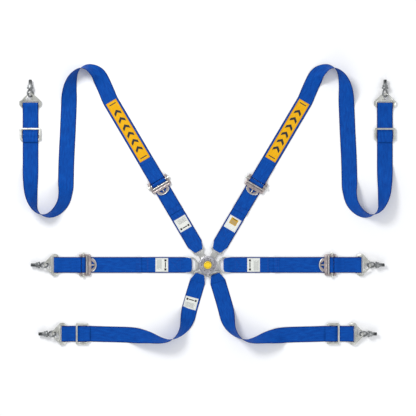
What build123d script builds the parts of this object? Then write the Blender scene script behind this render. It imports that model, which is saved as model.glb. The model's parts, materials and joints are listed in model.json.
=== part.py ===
"""Six-point racing harness with a rotary buckle, laid out flat with its front up. Millimetres, +Z up.

The origin is the centre of the buckle's back face. +X is the wearer's left, +Y runs towards the shoulders.
Each strap has its own local frame: along is the distance outward from the buckle, across is sideways.
"""
from build123d import *
from math import atan2, cos, degrees, hypot, radians, sin, sqrt
import os

os.makedirs("parts", exist_ok=True)

# ---- driving dimensions ----
WEB_WIDTH = 50.0          # 2 inch harness webbing
WEB_THICK = 1.4
FLAT_FROM = 47.5          # a strap that looks this wide in plan lies flat
LAYER_GAP = 0.3           # air between webbing layers that are not sewn
LOW = WEB_THICK / 2       # mid-height of a layer on the floor
HIGH = LOW + WEB_THICK + LAYER_GAP
FIT = 0.3                 # clearance between curved faces of different pieces

BUCKLE_R = 29.0
BASE_THICK = 2.6
TONGUE_LOW, TONGUE_TOP = 3.2, 6.2
HOUSING_TOP = 13.5
KNOB_LOW, KNOB_TOP = 14.0, 23.0
CAP_TOP = 24.6
POST_R = 4.0
TONGUE_REACH = 12.0       # radius from the buckle's centre to a tongue's inner end
TONGUE_NECK = 20.0
PAWL_R = 21.0             # radius of the latch pawls
TURN_NOTCHES = 6
CAM_LOW = 10.5            # underside of the release cam and of the knob's hub
HUB_R = 8.0
CAP_R = 12.3
CAP_SEAT = 1.4            # depth of the cap's recess in the knob
HOUSING_WALL = 3.5

GRIP_R = 4.0              # knurled grip bar of a strap adjuster
GRIP_Z = 6.0
GRIP_HALF = 40.0
REAR_BAR = 10.5           # rear bar of the adjuster, outward from the grip bar
REAR_R = 2.5
REAR_Z = 4.2
ADJ_REAR, ADJ_FRONT, TAB_TIP = 13.8, -23.7, -41.6
ADJ_HALF = 34.2
ADJ_LOW, ADJ_TOP = 3.6, 6.6

SLIDE_BARS = 16.0         # spacing of the bars of a three-bar slide
SLIDE_R = 1.7
SLIDE_Z = 5.0
SLIDE_HALF = 34.2
HOOK_BAR_HALF = 2.0
HOOK_BAR_Z = 4.8
HOOK_TILT = 10.5           # degrees that a snap hook rises towards its nose
HOOK_THICK = 3.6
BOWL_X, BOWL_IN, BOWL_OUT = 25.0, 7.0, 11.6
GATE_PIVOT = (12.0, 22.0)
EYE_X = 34.8              # eye centre outward from the hook's webbing bar
EYE_Z = 10.8
EYE_R, EYE_WIRE = 11.0, 2.7
THREAD_R = 5.55           # 7/16 inch UNF
NUT_R, COLLAR_R = 8.6, 10.5
NECK_FROM, COLLAR_FROM, COLLAR_TO = 11.5, 14.0, 19.0
THREAD_FROM, THREAD_TO = 26.0, 43.2
EYE_SHANK = [(4.8, NECK_FROM, COLLAR_FROM), (COLLAR_R, COLLAR_FROM, COLLAR_TO), (THREAD_R, THREAD_FROM, THREAD_TO)]

SHOULDER_START, SHOULDER_HEADING = (-31.0, 49.4), 120.5
LAP_START, LAP_HEADING = (-56.0, 0.0), 180.0
CROTCH_START, CROTCH_HEADING = (-25.9, -34.1), 252.0
SHOULDER_ADJUST, SHOULDER_HEM = 248.0, 139.0   # grip bar and tail hem, outward from the strap's start
LAP_ADJUST, LAP_HEM = 341.4, 155.8
SHOULDER_STRAIGHT = 552.0     # where the shoulder strap begins its turn over
CROTCH_STRAIGHT = 22.0

SHOULDER_HOOK, SHOULDER_HOOK_HEADING = (-566.7, 513.9), 90.0   # webbing bar of each snap hook
LAP_HOOK, LAP_HOOK_HEADING = (-487.0, 0.0), 180.0
CROTCH_HOOK, CROTCH_HOOK_HEADING = (-462.4, -220.2), 180.0
SHOULDER_SLIDE, CROTCH_SLIDE = 80.0, 44.8      # first bar of the slide, inward from the hook's bar

# Each station: (lifted edge), (edge on the floor). The lifted edge crosses over, so the strap shows its back.
SHOULDER_TURN = [
    ((-345, 540), (-300, 564)), ((-359, 575), (-315, 595)), ((-370, 601), (-333, 622)),
    ((-383, 615), (-354, 634)), ((-396, 622), (-377, 640)), ((-407, 624), (-396, 635)),
    ((-413, 624), (-412, 624)), ((-428, 617), (-417, 611)), ((-444, 601), (-419, 595)),
    ((-457, 577), (-420, 572)), ((-464, 553), (-420, 550)), ((-468, 511), (-420, 511)),
    ((-472, 428), (-423, 427)), ((-477, 335), (-427, 334)), ((-478, 271), (-429, 271)),
    ((-475, 239), (-432, 235)), ((-477, 209), (-441, 198)), ((-489, 185), (-461, 172)),
    ((-504, 169), (-485, 156)), ((-521, 162), (-511, 151)), ((-537, 164), (-536, 163)),
    ((-553, 172), (-546, 177)), ((-565, 185), (-548, 196)), ((-575, 201), (-547, 215)),
    ((-583, 227), (-546, 239)), ((-588, 262), (-544, 270)), ((-591.7, 323), (-541.7, 323)),
]
CROTCH_TURN = [
    ((-71, -97), (-23, -108)), ((-82, -138), (-35, -148)), ((-87, -173), (-44, -177)),
    ((-90, -196), (-57, -199)), ((-95, -212), (-73, -217)), ((-105, -228), (-95, -233)),
    ((-121, -242), (-122, -240)), ((-138, -247), (-137, -236)), ((-156, -249), (-157, -230)),
    ((-185, -249), (-187, -215)), ((-217, -249), (-218, -205)), ((-249, -249), (-249, -199)),
    ((-345, -246.2), (-345, -196.2)), ((-375, -245.2), (-375, -195.2)),
]


def turned(start, heading, hand):
    """The strap's start and heading on the left (hand 1) or mirrored to the right (hand -1)."""
    x, y = start
    return (x * hand, y), heading if hand > 0 else 180.0 - heading


def flat_plane(start, heading, z=0.0, along=0.0):
    """Plane parallel to the floor, with x outward along the strap."""
    d = (cos(radians(heading)), sin(radians(heading)))
    return Plane(origin=(start[0] + along * d[0], start[1] + along * d[1], z),
                 x_dir=(d[0], d[1], 0), z_dir=(0, 0, 1))


def side_plane(start, heading, across=0.0):
    """Upright plane along the strap: x outward, y up, its normal to the strap's right."""
    d = (cos(radians(heading)), sin(radians(heading)))
    right = (d[1], -d[0], 0)
    return Plane(origin=(start[0] + across * right[0], start[1] + across * right[1], 0),
                 x_dir=(d[0], d[1], 0), z_dir=right)


def export(part, label):
    part.label = label
    export_step(part, f"parts/{label}.step")


def strip(start, heading, route, width=WEB_WIDTH):
    """Webbing that runs straight in plan, along a route of (along, height) points."""
    with BuildPart() as piece:
        with BuildSketch(side_plane(start, heading)):
            with BuildLine():
                Polyline(*route)
            trace(line_width=WEB_THICK)
        extrude(amount=width / 2, both=True)
    return piece.part


def ribbon(stations, hand):
    """Webbing that rolls over: each station holds its lifted edge and its edge on the floor, in plan."""
    middles = []
    lifts = []
    for (ax, ay), (bx, by) in stations:
        plan = hypot(ax - bx, ay - by)
        rise = sqrt(WEB_WIDTH ** 2 - plan ** 2) if plan < FLAT_FROM else 0.0
        a = Vector(ax * hand, ay, LOW + rise)
        b = Vector(bx * hand, by, LOW)
        middles.append((a + b) * 0.5)
        lifts.append((a - b).normalized())
    with BuildPart() as piece:
        for i, middle in enumerate(middles):
            travel = middles[min(i + 1, len(middles) - 1)] - middles[max(i - 1, 0)]
            travel = travel - lifts[i] * travel.dot(lifts[i])
            with BuildSketch(Plane(origin=middle, x_dir=lifts[i], z_dir=travel.normalized())):
                Rectangle(WEB_WIDTH, WEB_THICK)
        loft(ruled=True)
    return piece.part


# ---- buckle ----
with BuildPart() as base_plate:
    with BuildSketch():
        Circle(BUCKLE_R)
        with BuildLine():
            Polyline((-7, -24), (-5, -36.5), (0, -38.5), (5, -36.5), (7, -24), close=True)
        make_face()
    extrude(amount=BASE_THICK)
    chamfer(base_plate.faces().sort_by(Axis.Z)[0].edges(), 0.5)
    with BuildSketch(Plane.XY.offset(BASE_THICK)):
        Circle(POST_R)
    extrude(amount=KNOB_TOP - 3.0 - BASE_THICK)
export(base_plate.part, "buckle_base_plate")

TONGUE_ANGLES = {
    "shoulder": degrees(atan2(SHOULDER_START[1], SHOULDER_START[0])),
    "lap": 180.0,
    "crotch": degrees(atan2(CROTCH_START[1], CROTCH_START[0])),
}
ALL_ANGLES = list(TONGUE_ANGLES.values()) + [180.0 - a for a in TONGUE_ANGLES.values()]

with BuildPart() as housing:
    with BuildSketch(Plane.XY.offset(BASE_THICK)):
        Circle(BUCKLE_R)
    extrude(amount=HOUSING_TOP - BASE_THICK)
    fillet(housing.faces().sort_by(Axis.Z)[-1].edges(), 1.5)
    with BuildSketch(Plane.XY.offset(BASE_THICK)):
        Circle(BUCKLE_R - HOUSING_WALL)
    extrude(amount=HOUSING_TOP - BASE_THICK - 1.5, mode=Mode.SUBTRACT)
    with BuildSketch(Plane.XY.offset(HOUSING_TOP - 3.0)):
        Circle(HUB_R + 1.0)
    extrude(amount=6.0, mode=Mode.SUBTRACT)
    for angle in ALL_ANGLES:
        with BuildSketch(flat_plane((0, 0), angle, TONGUE_LOW - 0.3)):
            with Locations((BUCKLE_R - 2.0, 0)):
                Rectangle(14.0, TONGUE_NECK + 1.0)
        extrude(amount=TONGUE_TOP - TONGUE_LOW + 0.6, mode=Mode.SUBTRACT)
export(housing.part, "buckle_housing")

with BuildPart() as cam_ring:
    with BuildSketch(Plane.XY.offset(CAM_LOW)):
        Circle(24.0)
        Circle(HUB_R, mode=Mode.SUBTRACT)
        with PolarLocations(16.0, TURN_NOTCHES):
            SlotOverall(11.0, 4.0, rotation=90, mode=Mode.SUBTRACT)
    extrude(amount=1.2)
export(cam_ring.part, "release_cam")

with BuildPart() as knob:
    with BuildSketch(Plane.XY.offset(KNOB_LOW)):
        Circle(BUCKLE_R - 1.0)
        with PolarLocations(BUCKLE_R + 2.2, TURN_NOTCHES, start_angle=30):
            Circle(5.0, mode=Mode.SUBTRACT)
    extrude(amount=KNOB_TOP - KNOB_LOW)
    fillet(knob.faces().sort_by(Axis.Z)[-1].edges(), 1.8)
    with BuildSketch(Plane.XY.offset(KNOB_TOP - CAP_SEAT)):
        Circle(CAP_R + 0.1)
    extrude(amount=3.0, mode=Mode.SUBTRACT)
    with BuildSketch(Plane.XY.offset(CAM_LOW)):
        Circle(HUB_R)
    extrude(amount=KNOB_LOW - CAM_LOW)
    with BuildSketch(Plane.XY.offset(CAM_LOW - 0.5)):
        Circle(POST_R + 0.05)
    extrude(amount=KNOB_TOP - CAM_LOW - 2.5, mode=Mode.SUBTRACT)
export(knob.part, "release_knob")

with BuildPart() as cap:
    with BuildSketch(Plane.XY.offset(KNOB_TOP - CAP_SEAT)):
        Circle(CAP_R)
    extrude(amount=CAP_TOP - KNOB_TOP + CAP_SEAT)
    fillet(cap.faces().sort_by(Axis.Z)[-1].edges(), 0.7)
export(cap.part, "knob_cap")

with BuildPart() as pawls:
    for angle in ALL_ANGLES:
        with BuildSketch(flat_plane((0, 0), angle, TONGUE_TOP + FIT)):
            with Locations((PAWL_R - 2.0, 0)):
                SlotOverall(8.0, 5.0)
        extrude(amount=2.4)
export(pawls.part, "latch_pawls")

with BuildPart() as spring:
    with BuildSketch(Plane.XY.offset(BASE_THICK)):
        Circle(10.4)
        Circle(9.2, mode=Mode.SUBTRACT)
        with Locations((10, 0)):
            Rectangle(4.0, 2.0, mode=Mode.SUBTRACT)
    extrude(amount=7.0)
export(spring.part, "return_spring")


# Half outlines of the tongues' yokes and slots, as (along, across) points.
NARROW_YOKE = [(-14, 9.5), (-8, 18), (-2, 20), (3, 19)]
NARROW_SLOT = [(-9, 12), (-6.5, 16), (-3, 16)]
WIDE_YOKE = [(-22, 9.5), (-18, 18), (-10, 24.5), (-2, 26), (3, 25)]
WIDE_SLOT = [(-17, 9), (-13.5, 16), (-8, 21), (-3, 22)]


def both_sides(outline):
    return outline + [(along, -across) for along, across in outline[::-1]]


def tongue(start, heading, yoke, slot, label):
    """Flat tongue: a tapered neck into the buckle, and a slotted yoke that the webbing loops through."""
    angle = degrees(atan2(start[1], start[0]))
    neck_end = hypot(*start) + yoke[0][0] + 3
    with BuildPart() as piece:
        with BuildSketch(flat_plane((0, 0), angle, TONGUE_LOW)):
            with BuildLine():
                Polyline((TONGUE_REACH + 1, -5.5), (20.5, -9.5), (neck_end, -9.5), (neck_end, 9.5),
                         (20.5, 9.5), (TONGUE_REACH + 1, 5.5), close=True)
            make_face()
        extrude(amount=TONGUE_TOP - TONGUE_LOW)
        with BuildSketch(flat_plane(start, heading, TONGUE_LOW)):
            with BuildLine():
                Polyline(*both_sides(yoke), close=True)
            make_face()
            with BuildLine():
                Polyline(*both_sides(slot), close=True)
            make_face(mode=Mode.SUBTRACT)
        extrude(amount=TONGUE_TOP - TONGUE_LOW)
        with BuildSketch(flat_plane((0, 0), angle, TONGUE_LOW)):
            with Locations((PAWL_R - 2.0, 0)):
                SlotOverall(9.0, 5.8)
        extrude(amount=TONGUE_TOP - TONGUE_LOW, mode=Mode.SUBTRACT)
    export(piece.part, label)


# ---- webbing ----
TONGUE_LOOP = [(24, LOW), (8, 1.0), (-2, 1.7), (-4.6, 2.8), (-5.0, 4.7), (-4.6, 6.6), (-2, 7.7), (6, 7.7)]
# Round the hook's webbing bar, from under it to over it, measured outward from the bar.
HOOK_LOOP = [(-20, LOW), (-4, 0.8), (0, 0.8), (2.9, 1.9), (4.1, 4.8), (2.9, 7.7), (0, 8.9), (-4, 8.8)]
SLIDE_TOP = SLIDE_Z + SLIDE_R + FIT + LOW


def end_cut(half):
    """Plan outline of webbing that narrows into a tongue's slot."""
    return [(-8, -6), (-2, -half), (4, -half - 1), (15, -26), (900, -26),
            (900, 26), (15, 26), (4, half + 1), (-2, half), (-8, 6)]


def narrowed(webbing, start, heading, half):
    """The same webbing with its end cut to fit the tongue."""
    with BuildPart() as piece:
        add(webbing)
        with BuildSketch(flat_plane(start, heading, -1.0)):
            with BuildLine():
                Polyline(*end_cut(half), close=True)
            make_face()
        extrude(amount=80.0, mode=Mode.INTERSECT)
    return piece.part


def belt(start, heading, adjust, hem, half, sewn_to, label):
    """Buckle side of a belt: sewn loop at the tongue, a run to the adjuster and the pull tail on top."""
    end = adjust - 6.5 - LOW
    with BuildPart() as piece:
        add(strip(start, heading, [(sewn_to, HIGH - 0.2), (24, HIGH - 0.2)] + TONGUE_LOOP[::-1]
                  + [(end, LOW), (end, HIGH), (hem + LOW, HIGH), (hem + LOW, HIGH + WEB_THICK),
                     (hem + 16, HIGH + WEB_THICK)]))
    export(narrowed(piece.part, start, heading, half), label)


def hook_end(slide, start_at):
    """Route of webbing from a strap, woven through a three-bar slide, round the hook and back."""
    b1, b2, b3 = -slide, -slide - SLIDE_BARS, -slide - 2 * SLIDE_BARS
    out = [(start_at, LOW), (b3 + 4, LOW), (b2 - 3, SLIDE_TOP), (b2 + 3, SLIDE_TOP), (b1 - 5, LOW)]
    back = [(b1 + 5, HIGH), (b1 - 3.4, HIGH), (b2 + 4.4, SLIDE_TOP + 1.7), (b2 - 4.4, SLIDE_TOP + 1.7),
            (b3 + 6, SLIDE_TOP), (b3 - 5, SLIDE_TOP), (b3 - 9, SLIDE_TOP - 1.8)]
    return out, back


def strap_end(hook, hook_heading, slide, start_at):
    """The hook end of a strap as one piece of webbing."""
    out, back = hook_end(slide, start_at)
    return strip(hook, hook_heading, out + HOOK_LOOP + [(-24, HIGH)] + back)


REAR_LOOP = [(0, LOW), (-2.4, 1.7), (-3.5, REAR_Z), (-2.4, 6.7), (0, 7.7), (5, 7.2)]


def rear_loop(at):
    """Round the adjuster's rear bar, from under it to over it, as (along, height) points."""
    return [(at + x, z) for x, z in REAR_LOOP]


def shoulder_strap(hand, label):
    start, heading = turned(SHOULDER_START, SHOULDER_HEADING, hand)
    hook, hook_heading = turned(SHOULDER_HOOK, SHOULDER_HOOK_HEADING, hand)
    rear = SHOULDER_ADJUST + REAR_BAR
    d = Vector(cos(radians(SHOULDER_HEADING)), sin(radians(SHOULDER_HEADING)))
    left = Vector(-d.Y, d.X)
    middle = Vector(*SHOULDER_START) + d * SHOULDER_STRAIGHT
    first = [(tuple(middle + left * 25.0)[:2], tuple(middle - left * 25.0)[:2])]
    with BuildPart() as piece:
        add(strip(start, heading, [(SHOULDER_STRAIGHT, LOW), (rear + 4, LOW)] + rear_loop(rear)
                  + [(rear + 20, HIGH), (rear + 62, HIGH)]))
        add(ribbon(first + SHOULDER_TURN, hand))
        add(strap_end(hook, hook_heading, SHOULDER_SLIDE, -190.9))
    export(piece.part, label)


def lap_strap(hand, label):
    hook, hook_heading = turned(LAP_HOOK, LAP_HOOK_HEADING, hand)
    rear = -(abs(LAP_HOOK[0]) - abs(LAP_START[0]) - LAP_ADJUST - REAR_BAR)
    with BuildPart() as piece:
        add(strip(hook, hook_heading, [(-50, HIGH), (rear + 20, HIGH)] + rear_loop(rear)[::-1]
                  + [(rear + 4, LOW)] + HOOK_LOOP + [(-24, HIGH), (-47, HIGH)]))
    export(piece.part, label)


def crotch_strap(hand, label):
    start, heading = turned(CROTCH_START, CROTCH_HEADING, hand)
    hook, hook_heading = turned(CROTCH_HOOK, CROTCH_HOOK_HEADING, hand)
    d = Vector(cos(radians(CROTCH_HEADING)), sin(radians(CROTCH_HEADING)))
    right = Vector(d.Y, -d.X)
    middle = Vector(*CROTCH_START) + d * CROTCH_STRAIGHT
    first = [(tuple(middle + right * 25.0)[:2], tuple(middle - right * 25.0)[:2])]
    with BuildPart() as piece:
        loop = strip(start, heading, [(CROTCH_STRAIGHT - 1, HIGH - 0.2)] + TONGUE_LOOP[:0:-1]
                     + [(CROTCH_STRAIGHT, LOW)])
        add(narrowed(loop, start, heading, 15.5))
        add(ribbon(first + CROTCH_TURN, hand))
        add(strap_end(hook, hook_heading, CROTCH_SLIDE, -375.0 + 462.4 - 174.8))
    export(piece.part, label)


def plate(start, heading, along, length, width, low, thick, label):
    """A label or patch sewn flat on the webbing."""
    with BuildPart() as piece:
        with BuildSketch(flat_plane(start, heading, low)):
            with Locations((along, 0)):
                RectangleRounded(length, width, 1.0)
        extrude(amount=thick)
    export(piece.part, label)


for side, hand in (("left", 1), ("right", -1)):
    start, heading = turned(SHOULDER_START, SHOULDER_HEADING, hand)
    tongue(start, heading, NARROW_YOKE, NARROW_SLOT, f"tongue_shoulder_{side}")
    belt(start, heading, SHOULDER_ADJUST, SHOULDER_HEM, 15.5, 124.0, f"shoulder_belt_{side}")
    shoulder_strap(hand, f"shoulder_strap_{side}")
    plate(start, heading, 441.0, 216.0, 37.0, WEB_THICK, 0.8, f"shoulder_patch_{side}")
    plate(start, heading, 96.0, 43.5, 41.0, HIGH - 0.2 + LOW, 0.5, f"shoulder_label_{side}")
    start, heading = turned(LAP_START, LAP_HEADING, hand)
    tongue(start, heading, WIDE_YOKE, WIDE_SLOT, f"tongue_lap_{side}")
    belt(start, heading, LAP_ADJUST, LAP_HEM, 21.5, 140.0, f"lap_belt_{side}")
    lap_strap(hand, f"lap_strap_{side}")
    plate(start, heading, 90.7, 40.6, 44.0, HIGH - 0.2 + LOW, 0.5, f"lap_label_{side}")
    start, heading = turned(CROTCH_START, CROTCH_HEADING, hand)
    tongue(start, heading, NARROW_YOKE, NARROW_SLOT, f"tongue_crotch_{side}")
    crotch_strap(hand, f"crotch_strap_{side}")

plate((-54.2, -121.8), 255.0, 0.0, 38.0, 42.0, WEB_THICK, 0.5, "crotch_label_left")


# ---- strap adjusters ----
def adjuster(start, heading, at, kind, side):
    """Pressed frame with a lifting tab, and the knurled bar that grips the webbing."""
    with BuildPart() as frame:
        with BuildSketch(flat_plane(start, heading, ADJ_LOW, at)):
            with BuildLine():
                Polyline((ADJ_REAR, -ADJ_HALF), (ADJ_REAR, -27.5), (-8.0, -27.5), (-8.0, 27.5),
                         (ADJ_REAR, 27.5), (ADJ_REAR, ADJ_HALF), (ADJ_FRONT + 3, ADJ_HALF),
                         (ADJ_FRONT, ADJ_HALF - 4), (ADJ_FRONT, 4 - ADJ_HALF),
                         (ADJ_FRONT + 3, -ADJ_HALF), close=True)
            make_face()
            with BuildLine():
                Line((ADJ_FRONT, 22), (ADJ_FRONT, -22))
                ThreePointArc((ADJ_FRONT, -22), (TAB_TIP, 0), (ADJ_FRONT, 22))
            make_face()
            for flip in (1, -1):
                with BuildLine():
                    Polyline((ADJ_FRONT - 2, 2.5 * flip), (ADJ_FRONT - 2, 14 * flip),
                             (TAB_TIP + 4.5, 2.5 * flip), close=True)
                make_face(mode=Mode.SUBTRACT)
        extrude(amount=ADJ_TOP - ADJ_LOW)
        for flip in (1, -1):
            with BuildSketch(side_plane(start, heading, 29.2 * flip)):
                with Locations((at, GRIP_Z)):
                    RectangleRounded(16.0, 11.0, 2.5)
                    Circle(GRIP_R + FIT, mode=Mode.SUBTRACT)
            extrude(amount=1.5, both=True)
        with BuildSketch(side_plane(start, heading)):
            with Locations((at + REAR_BAR, REAR_Z)):
                Circle(REAR_R)
        extrude(amount=29.0, both=True)
        for flip in (1, -1):
            with BuildSketch(side_plane(start, heading)):
                with Locations((at, GRIP_Z)):
                    Circle(GRIP_R + FIT)
            extrude(amount=GRIP_HALF + 2, both=True, mode=Mode.SUBTRACT)
    export(frame.part, f"adjuster_frame_{kind}_{side}")
    with BuildPart() as bar:
        with BuildSketch(side_plane(start, heading)):
            with Locations((at, GRIP_Z)):
                Circle(GRIP_R)
        extrude(amount=GRIP_HALF, both=True)
        chamfer(bar.edges().filter_by(GeomType.CIRCLE), 0.6)
    export(bar.part, f"grip_bar_{kind}_{side}")


# ---- three-bar slides ----
def three_bar_slide(hook, heading, slide, label):
    """Flat frame of a rounded outline with three cross bars."""
    middle = -slide - SLIDE_BARS
    with BuildPart() as piece:
        with BuildSketch(flat_plane(hook, heading, SLIDE_Z - SLIDE_R, middle)):
            RectangleRounded(2 * SLIDE_BARS + 8.0, 2 * SLIDE_HALF, 5.0)
            for x in (-SLIDE_BARS / 2, SLIDE_BARS / 2):
                with Locations((x, 0)):
                    Rectangle(SLIDE_BARS - 2 * SLIDE_R, 54.0, mode=Mode.SUBTRACT)
        extrude(amount=2 * SLIDE_R)
        chamfer(piece.faces().sort_by(Axis.Z)[-1].edges(), 0.6)
    export(piece.part, label)


# ---- snap hooks, gates and eyebolts ----
def hook_plane(hook, heading, lift=0.0):
    """Plane through the middle of a snap hook, rising towards its nose, x outward."""
    d = Vector(cos(radians(heading)), sin(radians(heading)), 0)
    tilt = radians(HOOK_TILT)
    x_dir = d * cos(tilt) + Vector(0, 0, sin(tilt))
    z_dir = Vector(0, 0, cos(tilt)) - d * sin(tilt)
    return Plane(origin=Vector(*hook, HOOK_BAR_Z) + z_dir * lift, x_dir=x_dir, z_dir=z_dir)


def snap_hook(hook, heading, gate, label):
    """Forged plate hook: a slotted base for webbing, one arm and an open bowl, with the gate's rivet."""
    px, py = GATE_PIVOT
    with BuildPart() as piece:
        with BuildSketch(hook_plane(hook, heading, -HOOK_THICK / 2)):
            with BuildLine():
                Polyline((-3, -35 * gate), (9, -35 * gate), (BOWL_X + 6, -11 * gate), (BOWL_X, -7 * gate),
                         (BOWL_X - 4, -9 * gate), (14, -8 * gate), (14, 14 * gate), (16, 20 * gate),
                         (14, 26 * gate), (9, 35 * gate), (-3, 35 * gate), (-9, 30 * gate), (-9, 26.5 * gate),
                         (-HOOK_BAR_HALF, 26.5 * gate), (-HOOK_BAR_HALF, -26.5 * gate), (-9, -26.5 * gate),
                         (-9, -30 * gate), close=True)
            make_face()
            with Locations((BOWL_X, 0)):
                Circle(BOWL_OUT)
                Circle(BOWL_IN, mode=Mode.SUBTRACT)
            with BuildLine():
                Polyline((BOWL_X + 5, 8.0 * gate), (BOWL_X + 5, 20 * gate), (16.5, 20 * gate), (14.2, 14 * gate),
                         (14.2, -2 * gate), (BOWL_X, -2 * gate), (BOWL_X, 2 * gate), close=True)
            make_face(mode=Mode.SUBTRACT)
            with Locations((HOOK_BAR_HALF + 3.6, 0)):
                RectangleRounded(7.2, 53.0, 1.5, mode=Mode.SUBTRACT)
        extrude(amount=HOOK_THICK)
        with BuildSketch(hook_plane(hook, heading, HOOK_THICK / 2)):
            with Locations((px, py * gate)):
                Circle(2.0)
        extrude(amount=2.6)
    export(piece.part, label)


def gate_piece(hook, heading, gate, label):
    """Sprung gate on the hook's rivet, lying over the plate and closing on the nose from inside."""
    px, py = GATE_PIVOT
    with BuildPart() as piece:
        with BuildSketch(hook_plane(hook, heading, HOOK_THICK / 2 + 0.2)):
            with BuildLine():
                Polyline((px - 4, (py - 3.5) * gate), (px + 1, (py - 5.5) * gate), (27.0, 10.3 * gate),
                         (29.6, 10.6 * gate), (30.5, 12.0 * gate), (px + 5, (py + 2.5) * gate), (px, (py + 4.5) * gate),
                         (px - 4.5, (py + 1) * gate), close=True)
            make_face()
            with Locations((px, py * gate)):
                Circle(2.06, mode=Mode.SUBTRACT)
        extrude(amount=1.8)
    export(piece.part, label)


def eyebolt(hook, heading, label):
    """Forged eye with a collar, a jam nut and a threaded shank."""
    d = Vector(cos(radians(heading)), sin(radians(heading)), 0)
    across = Vector(-d.Y, d.X, 0)
    centre = Vector(*hook, EYE_Z) + d * EYE_X
    roll = radians(45.0)
    upright = Vector(0, 0, cos(roll)) + across * sin(roll)
    ring_axis = d.cross(upright)
    with BuildPart() as piece:
        with BuildSketch(Plane(origin=centre, x_dir=upright, z_dir=d)):
            with Locations((EYE_R, 0)):
                Circle(EYE_WIRE)
        revolve(axis=Axis(centre, ring_axis), revolution_arc=360)
        for radius, x0, x1 in EYE_SHANK:
            with BuildSketch(Plane(origin=centre + d * x0, x_dir=across, z_dir=d)):
                Circle(radius)
            extrude(amount=x1 - x0)
        with BuildSketch(Plane(origin=centre + d * COLLAR_TO, x_dir=across, z_dir=d)):
            RegularPolygon(NUT_R, 6)
        extrude(amount=THREAD_FROM - COLLAR_TO)
        chamfer(piece.faces().sort_by(Axis(centre, d))[-1].edges(), 0.8)
    export(piece.part, label)


for side, hand in (("left", 1), ("right", -1)):
    start, heading = turned(SHOULDER_START, SHOULDER_HEADING, hand)
    adjuster(start, heading, SHOULDER_ADJUST, "shoulder", side)
    start, heading = turned(LAP_START, LAP_HEADING, hand)
    adjuster(start, heading, LAP_ADJUST, "lap", side)
    hooks = {
        "shoulder": (*turned(SHOULDER_HOOK, SHOULDER_HOOK_HEADING, hand), hand),
        "lap": (*turned(LAP_HOOK, LAP_HOOK_HEADING, hand), hand),
        "crotch": (*turned(CROTCH_HOOK, CROTCH_HOOK_HEADING, hand), 1),
    }
    three_bar_slide(*hooks["shoulder"][:2], SHOULDER_SLIDE, f"slide_shoulder_{side}")
    three_bar_slide(*hooks["crotch"][:2], CROTCH_SLIDE, f"slide_crotch_{side}")
    for kind, (hook, hook_heading, gate) in hooks.items():
        snap_hook(hook, hook_heading, gate, f"snap_hook_{kind}_{side}")
        gate_piece(hook, hook_heading, gate, f"hook_gate_{kind}_{side}")
        eyebolt(hook, hook_heading, f"eyebolt_{kind}_{side}")
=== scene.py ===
"""The racing harness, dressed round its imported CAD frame. Metres, +Z up; lengths below are in millimetres."""
import bpy
import bmesh
import json
from math import ceil, cos, hypot, pi, radians, sin, sqrt
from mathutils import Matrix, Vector
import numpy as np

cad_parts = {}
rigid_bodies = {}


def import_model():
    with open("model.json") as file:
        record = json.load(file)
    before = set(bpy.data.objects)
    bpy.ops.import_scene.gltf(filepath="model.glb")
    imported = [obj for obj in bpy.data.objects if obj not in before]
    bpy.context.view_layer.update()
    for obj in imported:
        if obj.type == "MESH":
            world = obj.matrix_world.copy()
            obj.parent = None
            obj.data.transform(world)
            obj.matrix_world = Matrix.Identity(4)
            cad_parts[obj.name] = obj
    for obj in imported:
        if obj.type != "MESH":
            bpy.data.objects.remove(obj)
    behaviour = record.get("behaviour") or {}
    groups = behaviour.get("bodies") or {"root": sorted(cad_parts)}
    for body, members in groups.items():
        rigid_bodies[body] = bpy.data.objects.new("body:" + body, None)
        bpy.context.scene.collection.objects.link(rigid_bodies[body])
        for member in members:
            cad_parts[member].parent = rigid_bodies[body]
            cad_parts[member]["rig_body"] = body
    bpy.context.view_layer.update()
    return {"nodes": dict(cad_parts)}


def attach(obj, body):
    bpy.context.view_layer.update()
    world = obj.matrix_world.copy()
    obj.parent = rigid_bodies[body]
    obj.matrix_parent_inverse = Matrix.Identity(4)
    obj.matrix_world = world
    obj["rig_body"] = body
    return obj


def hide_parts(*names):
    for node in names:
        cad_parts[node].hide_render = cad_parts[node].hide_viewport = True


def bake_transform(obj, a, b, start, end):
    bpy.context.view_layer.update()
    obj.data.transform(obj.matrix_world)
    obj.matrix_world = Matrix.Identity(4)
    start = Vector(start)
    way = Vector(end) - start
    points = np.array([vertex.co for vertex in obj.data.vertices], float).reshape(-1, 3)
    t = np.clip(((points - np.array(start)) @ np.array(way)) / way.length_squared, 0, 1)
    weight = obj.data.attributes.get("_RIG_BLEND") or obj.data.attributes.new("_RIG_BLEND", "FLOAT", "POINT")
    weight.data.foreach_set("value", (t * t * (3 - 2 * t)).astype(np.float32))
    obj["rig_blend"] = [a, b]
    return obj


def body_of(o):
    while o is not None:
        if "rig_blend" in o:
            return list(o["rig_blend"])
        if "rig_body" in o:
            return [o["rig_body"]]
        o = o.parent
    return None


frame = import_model()
NODES = frame["nodes"]
MM = 0.001

# ---- camera first: straight above the laid-out harness ----
VIEW_WIDTH, VIEW_CENTRE, CAMERA_HEIGHT = 1.331, (0.001, 0.182), 6.0
camera_data = bpy.data.cameras.new("camera")
camera_data.sensor_width = 36.0
camera_data.lens = 36.0 * CAMERA_HEIGHT / VIEW_WIDTH
camera_data.clip_end = 50.0
camera = bpy.data.objects.new("camera", camera_data)
camera.location = (*VIEW_CENTRE, CAMERA_HEIGHT)
bpy.context.scene.collection.objects.link(camera)
bpy.context.scene.camera = camera

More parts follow.
